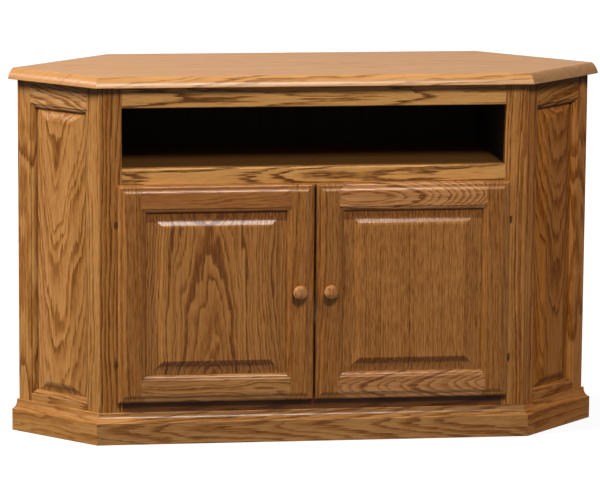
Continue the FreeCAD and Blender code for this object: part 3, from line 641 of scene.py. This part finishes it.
def turnKnob(side, look, seed):
    node, name = side + "_knob", side + "_turned_knob"
    low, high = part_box(node)
    radius, height = (high.x - low.x) / 2, high.y - low.y
    boreRadius, boreDepth = look["bore"]
    outer = smoothLine([(r * radius, h * height) for r, h in look["outline"]], look["steps"])
    profile = np.concatenate((((0.0, boreDepth), (boreRadius, boreDepth), (boreRadius, 0.0)), outer))
    foot = ((low.x + high.x) / 2, high.y, (low.z + high.z) / 2)
    knob = bpy.data.objects.new(name, turnedMesh(name, profile, foot, (0, -1, 0), look["sides"]))
    scene.collection.objects.link(knob)
    knob.data.materials.append(dressBoard({**knobOak, "node": node, "seed": seed}))
    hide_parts(node)
    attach(knob, side + "_door")


turnKnob("left", knobTurning, 91.0)
turnKnob("right", knobTurning, 95.0)
print("knobs turned")


# studio: a soft lamp in front, another high on the left, a little light all round and more from behind
studio = {
    "lamps": [
        {"name": "frontLamp", "azimuth": 5.5, "elevation": 40.0, "distance": 7.0, "size": 1.9, "level": 0.92},
        {"name": "sideLamp", "azimuth": -82.0, "elevation": 40.0, "distance": 7.0, "size": 2.6, "level": 1.82},
    ],
    "roundLight": 0.10, "rearLight": 0.8,
    "floorHalf": 15.0, "floorGrey": 0.06, "floorPale": 0.15, "floorGlow": 0.85, "glowRange": (0.9, 3.5),
}


def backdropMask(tree):
    # camera, glossy and transmission rays see the white background
    rays = add(tree, "LightPath").outputs
    both = calc(tree, "MAXIMUM", rays["Is Camera Ray"], rays["Is Glossy Ray"])
    return calc(tree, "MAXIMUM", both, rays["Is Transmission Ray"])


def lightStudio(look):
    for lamp in look["lamps"]:
        data = bpy.data.lights.new(lamp["name"], "AREA")
        data.shape, data.size = "DISK", lamp["size"]
        # a white face turned to the lamp renders at its level
        data.energy = lamp["level"] * math.pi ** 2 * lamp["distance"] ** 2
        holder = bpy.data.objects.new(lamp["name"], data)
        back = backward(lamp["azimuth"], lamp["elevation"])
        holder.location = Vector(photoCamera["target"]) + back * lamp["distance"]
        holder.rotation_euler = back.to_track_quat("Z", "Y").to_euler()
        scene.collection.objects.link(holder)
    world = bpy.data.worlds.new("studio")
    world.use_nodes = True
    tree = world.node_tree
    tree.nodes.clear()
    sky = add(tree, "Background", Color=(1, 1, 1, 1))
    ahead = calc(tree, "MAXIMUM", split(tree, add(tree, "TexCoord").outputs["Generated"])[1], 0.0)
    soft = calc(tree, "MULTIPLY_ADD", ahead, look["rearLight"], look["roundLight"])
    feed(tree, sky.inputs["Strength"], calc(tree, "MAXIMUM", backdropMask(tree), soft))
    feed(tree, add(tree, "OutputWorld").inputs["Surface"], sky.outputs[0])
    scene.world = world


def layFloor(look):
    half, start = look["floorHalf"], look["floorGlow"]
    corners = [(-half, -half, 0), (half, -half, 0), (half, half, 0), (-half, half, 0)]
    mesh = bpy.data.meshes.new("floor")
    mesh.from_pydata(corners, [], [(0, 1, 2, 3)])
    floor = bpy.data.objects.new("floor", mesh)
    scene.collection.objects.link(floor)
    material, tree = newMaterial("paleFloor")
    # the glow rises away from the object, so the far floor is as white as the background
    away = add(tree, "VectorMath", {"operation": "LENGTH"})
    feed(tree, away.inputs[0], add(tree, "TexCoord").outputs["Object"])
    rise = ramp(tree, away.outputs["Value"], *look["glowRange"])
    glow = calc(tree, "MULTIPLY_ADD", rise, 1.0 - start, start)
    seen = add(tree, "AddShader")
    feed(tree, seen.inputs[0], add(tree, "BsdfDiffuse", Color=grey(look["floorPale"])).outputs[0])
    feed(tree, seen.inputs[1], add(tree, "Emission", Color=glow, Strength=1.0).outputs[0])
    mixed = add(tree, "MixShader", Fac=backdropMask(tree))
    feed(tree, mixed.inputs[1], add(tree, "BsdfDiffuse", Color=grey(look["floorGrey"])).outputs[0])
    feed(tree, mixed.inputs[2], seen.outputs[0])
    feed(tree, add(tree, "OutputMaterial").inputs["Surface"], mixed.outputs[0])
    mesh.materials.append(material)


lightStudio(studio)
layFloor(studio)
print("studio lit")
